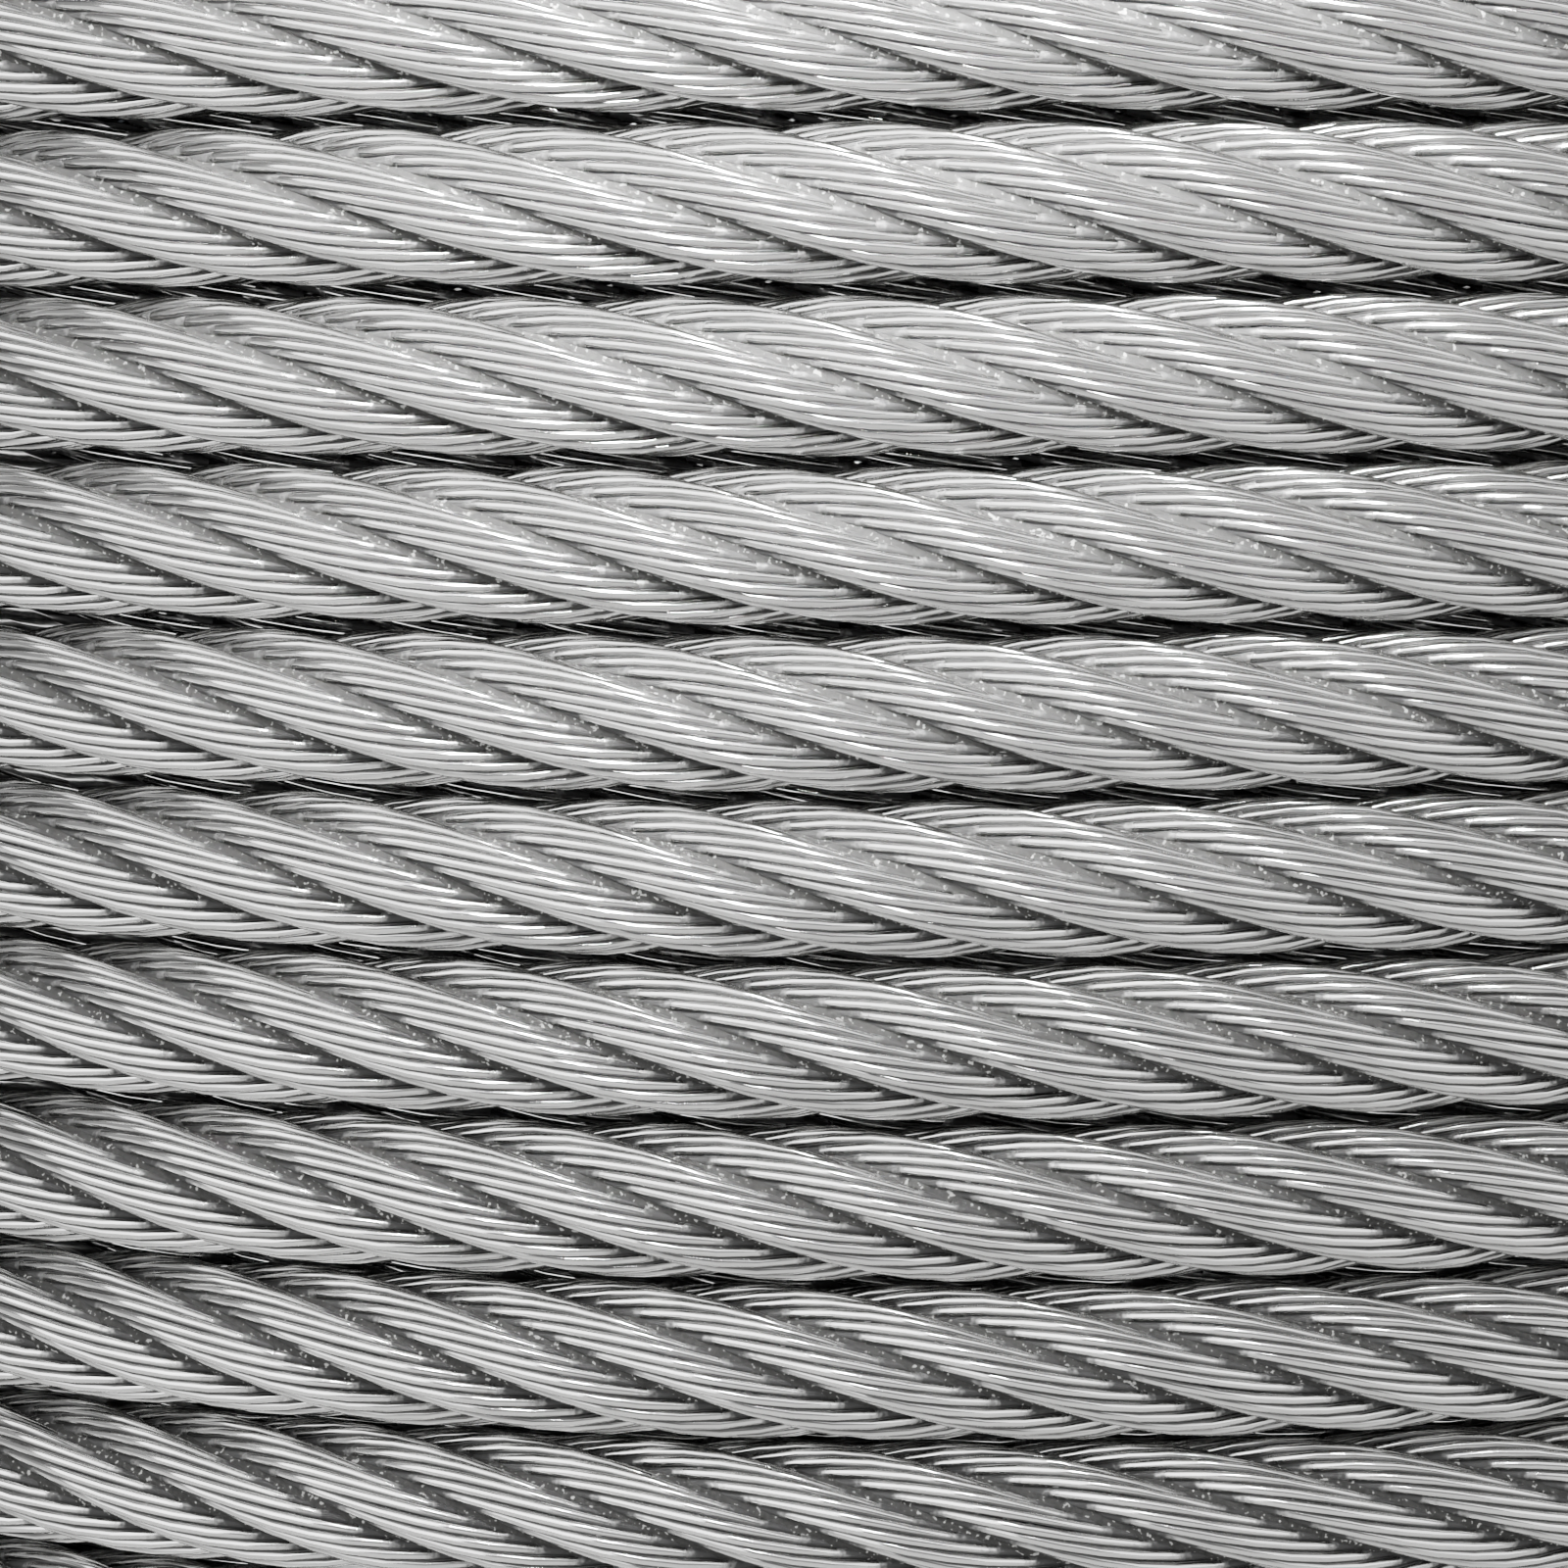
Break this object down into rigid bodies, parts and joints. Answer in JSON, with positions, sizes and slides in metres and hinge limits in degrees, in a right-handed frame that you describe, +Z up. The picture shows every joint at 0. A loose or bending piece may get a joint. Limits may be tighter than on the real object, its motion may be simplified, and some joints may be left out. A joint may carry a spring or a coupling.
{
  "type": "coil of wire rope",
  "caption": "Coil of stranded steel wire rope wound in nested layers, bound with steel straps and lying flat on its end.",
  "frame": {"origin": "centre of the coil's box, at its lowest point, where the straps rest on the floor", "axes": "+Z up along the coil's own axis; the pictured side of the coil faces -Y"},
  "size_m": [0.38, 0.38, 0.1271],
  "materials": {
    "rope_steel": "bright drawn steel wires, faintly oiled, with dark specks of old grease in the grooves",
    "strap_steel": "blued and waxed strapping steel, satin",
    "seal_steel": "zinc-coated sheet, crimped"
  },
  "bodies": {
    "root": {"rope_coil": "rope_steel", "strap_1": "strap_steel", "strap_2": "strap_steel", "strap_3": "strap_steel", "strap_4": "strap_steel", "strap_seal_1": "seal_steel", "strap_seal_2": "seal_steel", "strap_seal_3": "seal_steel", "strap_seal_4": "seal_steel"}
  },
  "joints": []
}
